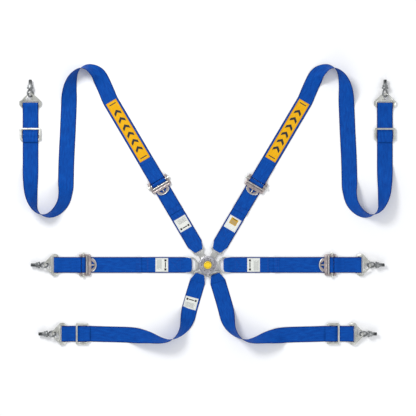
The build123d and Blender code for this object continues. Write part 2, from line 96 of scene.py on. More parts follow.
# ---- sizes shared with the CAD, in millimetres ----
WEB, THICK = 50.0, 1.4
LOW = THICK / 2
HIGH = LOW + THICK + 0.3
SEWN = HIGH - 0.2                  # mid-height of a layer sewn to the one under it
FLAT_FROM = 47.5
GRIP_R, GRIP_Z, GRIP_HALF = 4.0, 6.0, 40.0
REAR_BAR, REAR_Z = 10.5, 4.2
SLIDE_BARS, SLIDE_TOP = 16.0, 7.7
THREAD_R, THREAD_FROM, THREAD_TO = 5.55, 26.0, 43.2
EYE_X, EYE_Z = 34.8, 10.8
KNOB_TOP, CAP_TOP = 23.0, 24.6
ADJUSTER_TOP = 6.6

SHOULDER = {"start": (-31.0, 49.4), "heading": 120.5, "adjust": 248.0, "hem": 139.0, "narrow": 15.5,
            "sewn": 124.0, "box": 68.0}
LAP = {"start": (-56.0, 0.0), "heading": 180.0, "adjust": 341.4, "hem": 155.8, "narrow": 21.5,
       "sewn": 140.0, "box": 66.0}
CROTCH = {"start": (-25.9, -34.1), "heading": 252.0, "narrow": 15.5}
SHOULDER_STRAIGHT, CROTCH_STRAIGHT = 552.0, 22.0
SHOULDER_HOOK = {"at": (-566.7, 513.9), "heading": 90.0, "slide": 80.0}
LAP_HOOK = {"at": (-487.0, 0.0), "heading": 180.0}
CROTCH_HOOK = {"at": (-462.4, -220.2), "heading": 180.0, "slide": 44.8}

# Each station: (lifted edge), (edge on the floor).
SHOULDER_TURN = [
    ((-345, 540), (-300, 564)), ((-359, 575), (-315, 595)), ((-370, 601), (-333, 622)),
    ((-383, 615), (-354, 634)), ((-396, 622), (-377, 640)), ((-407, 624), (-396, 635)),
    ((-413, 624), (-412, 624)), ((-428, 617), (-417, 611)), ((-444, 601), (-419, 595)),
    ((-457, 577), (-420, 572)), ((-464, 553), (-420, 550)), ((-468, 511), (-420, 511)),
    ((-472, 428), (-423, 427)), ((-477, 335), (-427, 334)), ((-478, 271), (-429, 271)),
    ((-475, 239), (-432, 235)), ((-477, 209), (-441, 198)), ((-489, 185), (-461, 172)),
    ((-504, 169), (-485, 156)), ((-521, 162), (-511, 151)), ((-537, 164), (-536, 163)),
    ((-553, 172), (-546, 177)), ((-565, 185), (-548, 196)), ((-575, 201), (-547, 215)),
    ((-583, 227), (-546, 239)), ((-588, 262), (-544, 270)), ((-591.7, 323), (-541.7, 323)),
]
CROTCH_TURN = [
    ((-71, -97), (-23, -108)), ((-82, -138), (-35, -148)), ((-87, -173), (-44, -177)),
    ((-90, -196), (-57, -199)), ((-95, -212), (-73, -217)), ((-105, -228), (-95, -233)),
    ((-121, -242), (-122, -240)), ((-138, -247), (-137, -236)), ((-156, -249), (-157, -230)),
    ((-185, -249), (-187, -215)), ((-217, -249), (-218, -205)), ((-249, -249), (-249, -199)),
    ((-345, -246.2), (-345, -196.2)), ((-375, -245.2), (-375, -195.2)),
]
TONGUE_LOOP = [(24, LOW), (8, 1.0), (-2, 1.7), (-4.6, 2.8), (-5.0, 4.7), (-4.6, 6.6), (-2, 7.7), (6, 7.7)]
HOOK_LOOP = [(-20, LOW), (-4, 0.8), (0, 0.8), (2.9, 1.9), (4.1, 4.8), (2.9, 7.7), (0, 8.9), (-4, 8.8)]
REAR_LOOP = [(0, LOW), (-2.4, 1.7), (-3.5, REAR_Z), (-2.4, 6.7), (0, 7.7), (5, 7.2)]


# ---- places ----
def turned(strap, hand):
    """The strap's (start, heading), mirrored for the right side."""
    x, y = strap["start"] if "start" in strap else strap["at"]
    return (x * hand, y), strap["heading"] if hand > 0 else 180.0 - strap["heading"]


def directions(heading):
    """Outward and leftward unit vectors of a strap."""
    out = Vector((cos(radians(heading)), sin(radians(heading)), 0))
    return out, Vector((-out.y, out.x, 0))


def place(start, heading, along, across, height):
    """Point in metres from strap coordinates in millimetres."""
    out, left = directions(heading)
    return (Vector((*start, 0)) + out * along + left * across + Vector((0, 0, height))) * MM


# ---- materials ----
def new_material(name):
    material = bpy.data.materials.new(name)
    material.use_nodes = True
    nodes, links = material.node_tree.nodes, material.node_tree.links
    return material, nodes, links, nodes["Principled BSDF"]


def noise(nodes, links, scale, detail=3.0, vector=None, rough=0.5):
    node = nodes.new("ShaderNodeTexNoise")
    node.inputs["Scale"].default_value = scale
    node.inputs["Detail"].default_value = detail
    node.inputs["Roughness"].default_value = rough
    if vector is not None:
        links.new(vector, node.inputs["Vector"])
    return node.outputs["Fac"]


def math_node(nodes, links, operation, a, b=0.0, c=None):
    node = nodes.new("ShaderNodeMath")
    node.operation = operation
    for socket, value in zip(node.inputs, (a, b, c)):
        if isinstance(value, (int, float)):
            socket.default_value = value
        elif value is not None:
            links.new(value, socket)
    return node.outputs[0]


def ramp(nodes, links, value, stops):
    """Colour ramp from (position, colour) stops."""
    node = nodes.new("ShaderNodeValToRGB")
    elements = node.color_ramp.elements
    while len(elements) < len(stops):
        elements.new(0.5)
    for element, (at, colour) in zip(elements, stops):
        element.position = at
        element.color = (*colour, 1.0)
    links.new(value, node.inputs["Fac"])
    return node.outputs["Color"]


def mix_colour(nodes, links, factor, a, b, blend="MIX"):
    node = nodes.new("ShaderNodeMix")
    node.data_type = "RGBA"
    node.blend_type = blend
    for socket, value in ((node.inputs[0], factor), (node.inputs[6], a), (node.inputs[7], b)):
        if isinstance(value, (int, float)):
            socket.default_value = value
        elif isinstance(value, tuple):
            socket.default_value = (*value, 1.0)
        else:
            links.new(value, socket)
    return node.outputs[2]


def bump(nodes, links, shader, height, strength, distance):
    node = nodes.new("ShaderNodeBump")
    node.inputs["Strength"].default_value = strength
    node.inputs["Distance"].default_value = distance
    links.new(height, node.inputs["Height"])
    links.new(node.outputs["Normal"], shader.inputs["Normal"])


def woven(name, colour, dark, light, rib=1.25, edge=None, sheen=0.25, rough=0.62):
    """Woven tape: chevron ribs along it, weft picks across it and, if edge is given, darker selvedges."""
    material, nodes, links, shader = new_material(name)
    uv = nodes.new("ShaderNodeUVMap")
    uv.uv_map = "tape"
    split = nodes.new("ShaderNodeSeparateXYZ")
    links.new(uv.outputs["UV"], split.inputs[0])
    along, across = split.outputs["X"], split.outputs["Y"]
    # Twill: the picks lean one way in one rib and the other way in the next.
    rib_wave = math_node(nodes, links, "PINGPONG", across, rib)
    lean = math_node(nodes, links, "MULTIPLY_ADD", rib_wave, 0.8, along)
    picks = math_node(nodes, links, "SINE", math_node(nodes, links, "MULTIPLY", lean, 2 * pi / 0.9))
    ribs = math_node(nodes, links, "SINE", math_node(nodes, links, "MULTIPLY", across, pi / rib))
    weave = math_node(nodes, links, "MULTIPLY_ADD", picks, 0.55, math_node(nodes, links, "ABSOLUTE", ribs))
    tone = math_node(nodes, links, "MULTIPLY_ADD", weave, 0.16, 0.42)
    stretch = nodes.new("ShaderNodeCombineXYZ")
    links.new(math_node(nodes, links, "MULTIPLY", along, 0.02), stretch.inputs[0])
    links.new(math_node(nodes, links, "MULTIPLY", across, 0.09), stretch.inputs[1])
    patchy = noise(nodes, links, 2.0, 4.0, stretch.outputs[0])
    fibre = noise(nodes, links, 3.0, 2.0, uv.outputs["UV"])
    tone = math_node(nodes, links, "MULTIPLY_ADD", patchy, 0.6, math_node(nodes, links, "SUBTRACT", tone, 0.3))
    tone = math_node(nodes, links, "MULTIPLY_ADD", fibre, 0.14, math_node(nodes, links, "SUBTRACT", tone, 0.07))
    base = ramp(nodes, links, tone, [(0.12, dark), (0.48, colour), (0.92, light)])
    if edge is not None:
        side = math_node(nodes, links, "ABSOLUTE", across)
        band = ramp(nodes, links, math_node(nodes, links, "DIVIDE", side, WEB / 2),
                    [(0.86, (0, 0, 0)), (0.91, (0.5, 0.5, 0.5)), (0.955, (1, 1, 1))])
        base = mix_colour(nodes, links, band, base, edge)
    links.new(base, shader.inputs["Base Color"])
    shader.inputs["Roughness"].default_value = rough
    shader.inputs["Specular IOR Level"].default_value = 0.08
    shader.inputs["Sheen Tint"].default_value = (*light, 1.0)
    shader.inputs["Sheen Weight"].default_value = sheen
    shader.inputs["Sheen Roughness"].default_value = 0.45
    bump(nodes, links, shader, weave, 0.55, 0.00022)
    return material


def metal(name, colour, dark, rough, grain=0.0, scale=60.0, pits=0.0, edge=2.6, edge_shade_tone=0.45):
    """Plated or brushed metal with uneven tone, fine scratches and painted shade: a darker line painted along
    rounded edges.
    """
    material, nodes, links, shader = new_material(name)
    place_in = nodes.new("ShaderNodeTexCoord").outputs["Object"]
    cloud = noise(nodes, links, scale, 5.0, place_in, 0.6)
    fine = noise(nodes, links, scale * 14, 3.0, place_in, 0.7)
    stretched = nodes.new("ShaderNodeMapping")
    stretched.inputs["Scale"].default_value = (1.0, 9.0, 1.0)
    links.new(place_in, stretched.inputs["Vector"])
    scratch = noise(nodes, links, scale * 10, 2.0, stretched.outputs[0])
    base = ramp(nodes, links, cloud, [(0.3, dark), (0.62, colour)])
    base = mix_colour(nodes, links, math_node(nodes, links, "MULTIPLY", fine, 0.35), base, dark)
    # Painted shade: where a bevel normal parts from the true normal, the base colour is darkened along the
    # edge.
    rounded = nodes.new("ShaderNodeBevel")
    rounded.samples = 8
    rounded.inputs["Radius"].default_value = edge * MM
    compare = nodes.new("ShaderNodeVectorMath")
    compare.operation = "DOT_PRODUCT"
    links.new(rounded.outputs["Normal"], compare.inputs[0])
    links.new(nodes.new("ShaderNodeNewGeometry").outputs["Normal"], compare.inputs[1])
    painted_edge_shade = ramp(nodes, links, compare.outputs["Value"], [(0.86, (1, 1, 1)), (0.985, (0, 0, 0))])
    base = mix_colour(nodes, links, painted_edge_shade, base, tuple(c * edge_shade_tone for c in dark))
    links.new(base, shader.inputs["Base Color"])
    shader.inputs["Metallic"].default_value = 1.0
    uneven = math_node(nodes, links, "MULTIPLY_ADD", cloud, 0.22, rough - 0.08)
    links.new(math_node(nodes, links, "MULTIPLY_ADD", scratch, 0.1, uneven), shader.inputs["Roughness"])
    pitted = math_node(nodes, links, "MULTIPLY", fine, pits)
    height = math_node(nodes, links, "MULTIPLY_ADD", scratch, grain, pitted)
    bump(nodes, links, shader, height, 0.35, 0.0002)
    return material


def printed(name, colour, rough=0.6, coat=0.0):
    """Ink, thread or enamel of one hue, with a little unevenness."""
    material, nodes, links, shader = new_material(name)
    place_in = nodes.new("ShaderNodeTexCoord").outputs["Object"]
    cloud = noise(nodes, links, 900.0, 3.0, place_in)
    darker = tuple(c * 0.7 for c in colour)
    links.new(ramp(nodes, links, cloud, [(0.3, darker), (0.65, colour)]), shader.inputs["Base Color"])
    shader.inputs["Roughness"].default_value = rough
    shader.inputs["Coat Weight"].default_value = coat
    bump(nodes, links, shader, cloud, 0.25, 0.00015)
    return material


WEBBING = woven("webbing", (0.0012, 0.057, 0.325), (0.0006, 0.022, 0.16), (0.004, 0.125, 0.56),
                edge=(0.001, 0.012, 0.13), sheen=0.06, rough=0.55)
PATCH = woven("patch", (0.83, 0.42, 0.006), (0.6, 0.26, 0.003), (0.95, 0.56, 0.03), rib=0.8, sheen=0.1)
PATCH_EDGE = printed("patch_edge", (0.8, 0.38, 0.006), 0.5)
LABEL = woven("label", (0.78, 0.8, 0.74), (0.55, 0.58, 0.54), (0.9, 0.9, 0.86), rib=0.5, sheen=0.1)
THREAD = printed("thread", (0.004, 0.05, 0.34), 0.55)
BLACK = printed("black_thread", (0.012, 0.012, 0.014), 0.6)
GREY = printed("grey_print", (0.3, 0.31, 0.3), 0.6)
GOLD = printed("gold_print", (0.62, 0.36, 0.012), 0.5)
CAP = printed("cap_enamel", (1.0, 0.68, 0.005), 0.28, 0.4)
CAP_INK = printed("cap_ink", (0.3, 0.15, 0.01), 0.4)
ZINC = metal("zinc", (0.86, 0.86, 0.8), (0.56, 0.56, 0.49), 0.24, 0.4, 50.0)
# Darker zinc and steel: painted shade for bevel faces and small dark marks.
ZINC_SHADED_EDGE = metal("zinc_painted_shade", (0.4, 0.4, 0.37), (0.2, 0.2, 0.18), 0.3, 0.3, 90.0)
STEEL_SHADED_EDGE = metal("steel_painted_shade", (0.3, 0.28, 0.28), (0.13, 0.12, 0.12), 0.3, 0.3, 90.0)
ADJUSTER = metal("adjuster_steel", (0.66, 0.58, 0.56), (0.36, 0.3, 0.29), 0.26, 0.5, 60.0)
TONGUE = metal("tongue_steel", (0.8, 0.8, 0.76), (0.5, 0.5, 0.47), 0.26, 0.5, 55.0)
BUCKLE = metal("buckle_alloy", (0.66, 0.65, 0.67), (0.36, 0.35, 0.37), 0.28, 0.4, 60.0, edge_shade_tone=0.25)
FORGED = metal("forged_steel", (0.36, 0.37, 0.37), (0.13, 0.135, 0.135), 0.34, 0.3, 70.0, 0.8, edge=0.8)
INNER = metal("inner_steel", (0.5, 0.5, 0.5), (0.3, 0.3, 0.3), 0.4, 0.3, 60.0)


# ---- meshes ----
def piece(name, verts, faces, material, body, uv=None, smooth=True):
    """A mesh object from plain lists, riding on a body."""
    mesh = bpy.data.meshes.new(name)
    mesh.from_pydata(verts, [], faces)
    mesh.materials.append(material)
    if uv is not None:
        layer = mesh.uv_layers.new(name="tape")
        for loop in mesh.loops:
            layer.data[loop.index].uv = uv[loop.vertex_index]
    mesh.validate()
    if smooth:
        mesh.shade_smooth()
        mesh.set_sharp_from_angle(angle=radians(50))
    obj = bpy.data.objects.new(name, mesh)
    bpy.context.scene.collection.objects.link(obj)
    if body is not None:
        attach(obj, body)
    return obj


def catmull(p0, p1, p2, p3, u):
    """Centripetal Catmull-Rom between p1 and p2."""
    t1 = max((p1 - p0).length, 1e-6) ** 0.5
    t2 = t1 + max((p2 - p1).length, 1e-6) ** 0.5
    t3 = t2 + max((p3 - p2).length, 1e-6) ** 0.5
    t = t1 + (t2 - t1) * u
    a1 = p0 * ((t1 - t) / t1) + p1 * (t / t1)
    a2 = p1 * ((t2 - t) / (t2 - t1)) + p2 * ((t - t1) / (t2 - t1))
    a3 = p2 * ((t3 - t) / (t3 - t2)) + p3 * ((t - t2) / (t3 - t2))
    b1 = a1 * ((t2 - t) / t2) + a2 * (t / t2)
    b2 = a2 * ((t3 - t) / (t3 - t1)) + a3 * ((t - t1) / (t3 - t1))
    return b1 * ((t2 - t) / (t2 - t1)) + b2 * ((t - t1) / (t2 - t1))


def smooth_route(controls, step=4.0):
    """Dense (point, side, half width, free) stations along a smooth curve through the controls."""
    points = [c[0] for c in controls]
    points = [points[0] * 2 - points[1]] + points + [points[-1] * 2 - points[-2]]
    out = []
    for i in range(len(controls) - 1):
        (p1, s1, h1, f1), (p2, s2, h2, f2) = controls[i], controls[i + 1]
        count = max(3, ceil((p2 - p1).length / step))
        for k in range(count):
            u = k / count
            side = s1.lerp(s2, u).normalized()
            out.append([catmull(*points[i:i + 4], u), side, h1 + (h2 - h1) * u, f1 and f2])
    last = controls[-1]
    out.append([last[0].copy(), last[1].normalized(), last[2], False])
    for _ in range(SMOOTHING):
        old = [(p.copy(), s.copy()) for p, s, _, _ in out]
        for i in range(1, len(out) - 1):
            if out[i][3]:
                out[i][0] = (old[i - 1][0] + old[i][0] * 2 + old[i + 1][0]) * 0.25
                out[i][1] = (old[i - 1][1] + old[i][1] * 2 + old[i + 1][1]).normalized()
    return out


# Half of the webbing's section: share of the half width, share of the half thickness.
SECTION = [(1.0, 0.3), (0.985, 0.78), (0.95, 1.06), (0.9, 1.04), (0.87, 0.94), (0.6, 1.0), (0.3, 1.0),
           (0.0, 1.0)]
SECTION = SECTION + [(-a, t) for a, t in SECTION[-2::-1]]
SMOOTHING = 14                     # passes over a free turn of webbing


def tape(name, controls, body, nodes=(), material=None, thick=THICK, step=4.0):
    """A length of flat tape with bead edges; returns the object."""
    stations = smooth_route(controls, step)
    verts, uv, faces = [], [], []
    length = 0.0
    ring = 2 * len(SECTION)
    for i, (point, side, half, _) in enumerate(stations):
        point = Vector((point.x, point.y, max(point.z, thick / 2)))
        travel = stations[min(i + 1, len(stations) - 1)][0] - stations[max(i - 1, 0)][0]
        side = (side - travel.normalized() * side.dot(travel.normalized())).normalized()
        normal = side.cross(travel).normalized()
        if i:
            length += (point - previous).length
        previous = point
        for sign in (1, -1):
            for a, t in (SECTION if sign > 0 else SECTION[::-1]):
                spot = point + side * (a * half) + normal * (sign * t * thick / 2)
                verts.append(Vector((spot.x, spot.y, max(spot.z, 0.02))) * MM)
                uv.append((length, a * half))
        if i:
            base, before = i * ring, (i - 1) * ring
            for k in range(ring):
                n = (k + 1) % ring
                faces.append((before + k, before + n, base + n, base + k))
    faces.append(tuple(range(ring))[::-1])
    faces.append(tuple(range(len(verts) - ring, len(verts))))
    obj = piece(name, verts, faces, material or WEBBING, body, uv)
    if nodes:
        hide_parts(*nodes)
    return obj


def half_near_tongue(along, narrow):
    """Half width of webbing that narrows into a tongue's slot."""
    stops = [(-8, 6.0), (-2, narrow), (4, narrow + 1), (15, WEB / 2)]
    if along >= stops[-1][0]:
        return WEB / 2
    for (a0, h0), (a1, h1) in zip(stops, stops[1:]):
        if along <= a1:
            return h0 + (h1 - h0) * (along - a0) / (a1 - a0)


def straight(frame_at, points, sign=1.0, narrow=None):
    """Controls of webbing that runs straight in plan, from (along, height) points."""
    start, heading = frame_at
    side = directions(heading)[1] * sign
    return [(place(start, heading, x, 0, z) / MM, side,
             WEB / 2 if narrow is None else half_near_tongue(x, narrow), False) for x, z in points]


def turning(stations, hand):
    """Controls of webbing that rolls over, from plan positions of its lifted edge and its edge on the floor."""
    controls = []
    for (ax, ay), (bx, by) in stations:
        plan = hypot(ax - bx, ay - by)
        rise = sqrt(WEB ** 2 - plan ** 2) if plan < FLAT_FROM else 0.0
        lifted, floor = Vector((ax * hand, ay, LOW + rise)), Vector((bx * hand, by, LOW))
        controls.append(((lifted + floor) * 0.5, (lifted - floor).normalized(), WEB / 2, True))
    return controls


def rear_loop(at):
    return [(at + x, z) for x, z in REAR_LOOP]


def hook_end(slide):
    """Route woven through a three-bar slide, round the hook's bar and back to the tail."""
    b1, b2, b3 = -slide, -slide - SLIDE_BARS, -slide - 2 * SLIDE_BARS
    out = [(b3 - 12, LOW), (b3 - 4, LOW), (b3 + 4, LOW), (b2 - 3, SLIDE_TOP), (b2 + 3, SLIDE_TOP),
           (b1 - 5, LOW), (b1 + 2, LOW)]
    back = [(-24, HIGH), (b1 + 5, HIGH), (b1 - 3.4, HIGH), (b2 + 4.4, SLIDE_TOP + 1.7),
            (b2 - 4.4, SLIDE_TOP + 1.7), (b3 + 6, SLIDE_TOP), (b3 - 5, SLIDE_TOP), (b3 - 9, SLIDE_TOP - 1.8)]
    return out + HOOK_LOOP + back


def hemmed(end, hem):
    """Route from the fold by the adjuster along the pull tail to its folded hem."""
    fold = [(end - 3, LOW), (end - 0.3, LOW + 0.2), (end + 0.3, (LOW + HIGH) / 2), (end - 0.3, HIGH - 0.2),
            (end - 3, HIGH)]
    turn_back = [(hem + 4, HIGH), (hem + 0.9, HIGH + 0.1), (hem + 0.4, HIGH + 0.75), (hem + 0.9, HIGH + 1.4),
                 (hem + 4, HIGH + 1.5), (hem + 16, HIGH + 1.5)]
    return fold + turn_back


# ---- webbing ----
def lay_belt(strap, hand, kind, side, body):
    """Buckle side of a belt: sewn loop, run to the adjuster, hemmed pull tail, and the wrap round the bar."""
    at = turned(strap, hand)
    adjust, hem, narrow = strap["adjust"], strap["hem"], strap["narrow"]
    end = adjust - 6.5 - LOW
    route = [(strap["sewn"], SEWN), (60, SEWN), (27, SEWN), (20, SEWN + 0.5)] + TONGUE_LOOP[::-1]
    route += [(60, LOW), (end - 40, LOW)] + hemmed(end, hem)[:5] + [(end - 40, HIGH)] + hemmed(end, hem)[5:]
    tape(f"webbing_{kind}_belt_{side}", straight(at, route, narrow=narrow), body, [f"{kind}_belt_{side}"])
    wrap = [(adjust - 48, LOW), (adjust - 14, LOW), (adjust - 5, LOW + 0.05), (adjust, 1.15),
            (adjust + 3.6, 2.7), (adjust + 4.9, GRIP_Z), (adjust + 3.5, 9.4), (adjust, 10.85),
            (adjust - 3.6, 9.4), (adjust - 5.6, 6.8), (adjust - 6.6, 4.2), (adjust - 9, 2.75),
            (adjust - 14, HIGH), (adjust - 48, HIGH)]
    bar = tape(f"webbing_{kind}_wrap_{side}", straight(at, wrap), None, thick=1.15, step=2.0)
    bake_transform(bar, f"{kind}_strap_{side}", f"adjuster_{kind}_{side}",
             start=tuple(place(*at, adjust - 14, 0, LOW)), end=tuple(place(*at, adjust - 6, 0, LOW)))


def lay_shoulder_strap(hand, side):
    at, hook = turned(SHOULDER, hand), turned(SHOULDER_HOOK, hand)
    rear = SHOULDER["adjust"] + REAR_BAR
    route = [(rear + 62, HIGH), (rear + 40, HIGH), (rear + 20, HIGH)] + rear_loop(rear)[::-1]
    route += [(rear + 14, LOW), (rear + 80, LOW), (480, LOW), (SHOULDER_STRAIGHT - 20, LOW)]
    route += [(SHOULDER_STRAIGHT, LOW)]
    controls = straight(at, route, hand) + turning(SHOULDER_TURN, hand)
    controls += straight(hook, hook_end(SHOULDER_HOOK["slide"]), hand)
    tape(f"webbing_shoulder_strap_{side}", controls, f"shoulder_strap_{side}", [f"shoulder_strap_{side}"])


def lay_lap_strap(hand, side):
    hook = turned(LAP_HOOK, hand)
    rear = abs(LAP["start"][0]) + LAP["adjust"] + REAR_BAR - abs(LAP_HOOK["at"][0])
    route = [(-50, HIGH), (rear + 20, HIGH)] + rear_loop(rear)[::-1] + [(rear + 14, LOW), (-40, LOW)]
    route += HOOK_LOOP + [(-12, 5.6), (-24, HIGH), (-49.8, HIGH)]
    tape(f"webbing_lap_strap_{side}", straight(hook, route), f"lap_strap_{side}", [f"lap_strap_{side}"])


def lay_crotch_strap(hand, side):
    at, hook = turned(CROTCH, hand), turned(CROTCH_HOOK, hand)
    route = [(21, SEWN)] + TONGUE_LOOP[:0:-1] + [(CROTCH_STRAIGHT, LOW)]
    controls = straight(at, route, -hand, narrow=CROTCH["narrow"]) + turning(CROTCH_TURN, hand)
    controls += straight(hook, hook_end(CROTCH_HOOK["slide"])[1:], hand)
    tape(f"webbing_crotch_strap_{side}", controls, f"crotch_belt_{side}", [f"crotch_strap_{side}"])


# ---- small parts made in place ----
# Along a stitch: share of its length, share of its radius, how far it dips into the cloth in radii.
STITCH_SHAPE = [(0, 0.45, 0.9), (0.2, 0.95, 0.25), (0.5, 1.0, 0.0), (0.8, 0.95, 0.25), (1, 0.45, 0.9)]
LABEL_THICK = 0.5
PATCH_AT, PATCH_LENGTH, PATCH_WIDTH, PATCH_THICK = 441.0, 216.0, 37.0, 0.8


class Bag:
    """Many small solids gathered into one mesh."""

    def __init__(self):
        self.verts, self.faces = [], []

    def ring_solid(self, rings):
        base, count = len(self.verts), len(rings[0])
        for ring in rings:
            self.verts.extend(ring)
        for i in range(len(rings) - 1):
            for k in range(count):
                n = (k + 1) % count
                a = base + i * count
                self.faces.append((a + k, a + n, a + count + n, a + count + k))
        self.faces.append(tuple(range(base, base + count))[::-1])
        self.faces.append(tuple(range(len(self.verts) - count, len(self.verts))))

    def dash(self, p, q, radius):
        """One stitch lying between two points, its ends dipping into the cloth."""
        run = (q - p).normalized()
        side, rings = run.cross(Vector((0, 0, 1))), []
        for t, size, dip in STITCH_SHAPE:
            spot = p.lerp(q, t) - Vector((0, 0, dip * radius))
            rings.append([spot + (side * cos(a) + Vector((0, 0, 1)) * sin(a)) * radius * size
                          for a in (k * pi / 3 for k in range(6))])
        self.ring_solid(rings)

    def stitches(self, at, line, height, radius=0.34, pitch=3.1, fill=0.8):
        """A row of stitches along a line of (along, across) points in a strap's frame."""
        for (a0, c0), (a1, c1) in zip(line, line[1:]):
            count = max(1, round(hypot(a1 - a0, c1 - c0) / pitch))
            for k in range(count):
                u, v = k / count, (k + fill) / count
                p = place(*at, a0 + (a1 - a0) * u, c0 + (c1 - c0) * u, height)
                q = place(*at, a0 + (a1 - a0) * v, c0 + (c1 - c0) * v, height)
                self.dash(p, q, radius * MM)

    def slab(self, at, outline, low, high):
        """A flat shape with a slightly drawn-in top, from (along, across) points."""
        centre = (sum(a for a, _ in outline) / len(outline), sum(c for _, c in outline) / len(outline))
        rings = []
        for height, draw in ((low, 0.0), (high - 0.05, 0.0), (high, 0.02)):
            rings.append([place(*at, a + (centre[0] - a) * draw, c + (centre[1] - c) * draw, height)
                          for a, c in outline])
        self.ring_solid(rings)

    def done(self, name, material, body, slot, smooth=True):
        return piece(name, self.verts, self.faces, material, body, smooth=smooth)


def block(a0, a1, c0, c1):
    """Corners of a rectangle between two distances along a strap and two across it."""
    return [(a0, c0), (a1, c0), (a1, c1), (a0, c1)]


def box_line(a0, a1, half):
    return [(a0, -half), (a1, -half), (a1, half), (a0, half), (a0, -half)]


def box_cross(bag, at, a0, a1, half, height):
    """Box stitch with a cross in it."""
    bag.stitches(at, box_line(a0, a1, half), height)
    bag.stitches(at, [(a0, -half), (a1, half)], height)
    bag.stitches(at, [(a0, half), (a1, -half)], height)


def sew_belt(strap, hand, body, name):
    at = turned(strap, hand)
    top, bag = SEWN + THICK / 2 + 0.08, Bag()
    for across in (-strap["narrow"] + 2, strap["narrow"] - 2):
        bag.stitches(at, [(17, across * 0.9), (30, across)], top)
    box_cross(bag, at, 32, strap["box"], 20.5, top)
    box_cross(bag, at, strap["sewn"] - 5.5, strap["sewn"] - 2, 21.5, top)
    hem = strap["hem"]
    for along in (hem + 4.5, hem + 8.0, hem + 14.0):
        bag.stitches(at, [(along, -22.5), (along, 22.5)], HIGH + THICK * 0.5 + 1.55)
    bag.done(name, THREAD, body, "webbing", smooth=True)


def sheet_plate(name, at, along, length, width, low, thick, material, body, node):
    controls = straight(at, [(along - length / 2 + length * k / 6, low + thick / 2) for k in range(7)])
    controls = [(p, s, width / 2, f) for p, s, _, f in controls]
    return tape(name, controls, body, [node], material, thick=thick)


def label(name, at, along, length, width, body, node, gold, low=None):
    """Woven label: generic rules and blocks where a maker's details would be."""
    low = SEWN + THICK / 2 if low is None else low
    sheet_plate(name, at, along, length, width, low, LABEL_THICK, LABEL, body, node)
    top, thread, ink, bars, square = low + LABEL_THICK, Bag(), Bag(), Bag(), Bag()
    round_edge = box_line(-length / 2 + 1.6, length / 2 - 1.6, width / 2 - 1.6)
    seam = [(a + along, c) for a, c in round_edge]
    thread.stitches(at, seam, top + 0.05, 0.26, 2.6)
    half = width / 2 - 4.2
    for k in range(0 if gold else 7):
        a = along + length / 2 - 5.5 - k * 2.3
        reach = half * (0.95, 0.7, 0.9, 0.55, 0.85, 0.65, 0.8)[k]
        ink.slab(at, block(a, a + 0.9, -half, reach), top - 0.05, top + 0.06)
    a0 = along - length / 2 + 4.5
    if gold:
        a1 = along + length / 2 - 4.0
        square.slab(at, block(a1 - 21, a1, -half * 0.75, half * 0.75), top - 0.05, top + 0.08)
        bars.slab(at, block(a1 - 4, a1 - 2, -half * 0.45, half * 0.45), top, top + 0.12)
        for k in range(5):
            a = a1 - 7.5 - k * 2.4
            ink.slab(at, block(a - 0.8, a, -half * 0.6, half * 0.6), top, top + 0.12)
    else:
        for low_end, high_end in ((-half, -half * 0.62), (half * 0.62, half)):
            bars.slab(at, block(a0 + 1, a0 + 7.5, low_end, high_end), top - 0.05, top + 0.07)
        bars.slab(at, block(a0 + 2.6, a0 + 5.9, -half * 0.5, half * 0.5), top - 0.05, top + 0.07)
    thread.done(f"{name}_stitching", GREY, body, "label_white")
    ink.done(f"{name}_rules", GREY, body, "label_white", smooth=False)
    bars.done(f"{name}_bars", BLACK, body, "label_white", smooth=False)
    if gold:
        square.done(f"{name}_square", GOLD, body, "label_white", smooth=False)


def patch(side, hand):
    """Embroidered patch: merrowed edge, then a row of generic chevrons between two bars."""
    at, body = turned(SHOULDER, hand), f"shoulder_strap_{side}"
    along, length, width = PATCH_AT, PATCH_LENGTH, PATCH_WIDTH
    sheet_plate(f"patch_{side}", at, along, length, width, THICK, PATCH_THICK, PATCH, body,
                f"shoulder_patch_{side}")
    top, edge, ink = THICK + PATCH_THICK, Bag(), Bag()
    rim = [(a + along, c) for a, c in box_line(-length / 2 + 1.1, length / 2 - 1.1, width / 2 - 1.1)]
    for (a0, c0), (a1, c1) in zip(rim, rim[1:]):
        count = round(hypot(a1 - a0, c1 - c0) / 0.95)
        run = Vector((a1 - a0, c1 - c0)).normalized()
        out = Vector((run.y, -run.x))
        for k in range(count + 1):
            a, c = a0 + (a1 - a0) * k / count, c0 + (c1 - c0) * k / count
            inner = place(*at, a - out.x * 1.1, c - out.y * 1.1, top + 0.1)
            outer = place(*at, a + out.x * 1.1 + run.x * 0.3, c + out.y * 1.1 + run.y * 0.3, top + 0.1)
            edge.dash(inner, outer, 0.5 * MM)
    half = width / 2 - 7.0
    for k in range(6):
        a = along + (k - 2.5) * 27.0
        point, thick = 10.0, 9.5
        ink.slab(at, [(a - thick, half), (a, half), (a + point, 0), (a, -half), (a - thick, -half),
                      (a - thick + point, 0)], top - 0.1, top + 0.22)
    for a in (along - length / 2 + 8.5, along + length / 2 - 11.5):
        ink.slab(at, block(a, a + 3, -half, half), top - 0.1, top + 0.22)
    edge.done(f"patch_{side}_merrowing", PATCH_EDGE, body, "patch_yellow")
    ink.done(f"patch_{side}_chevrons", BLACK, body, "patch_yellow", smooth=False)


# ---- hardware ----
CREASE = 32.0                      # edges sharper than this many degrees are rounded


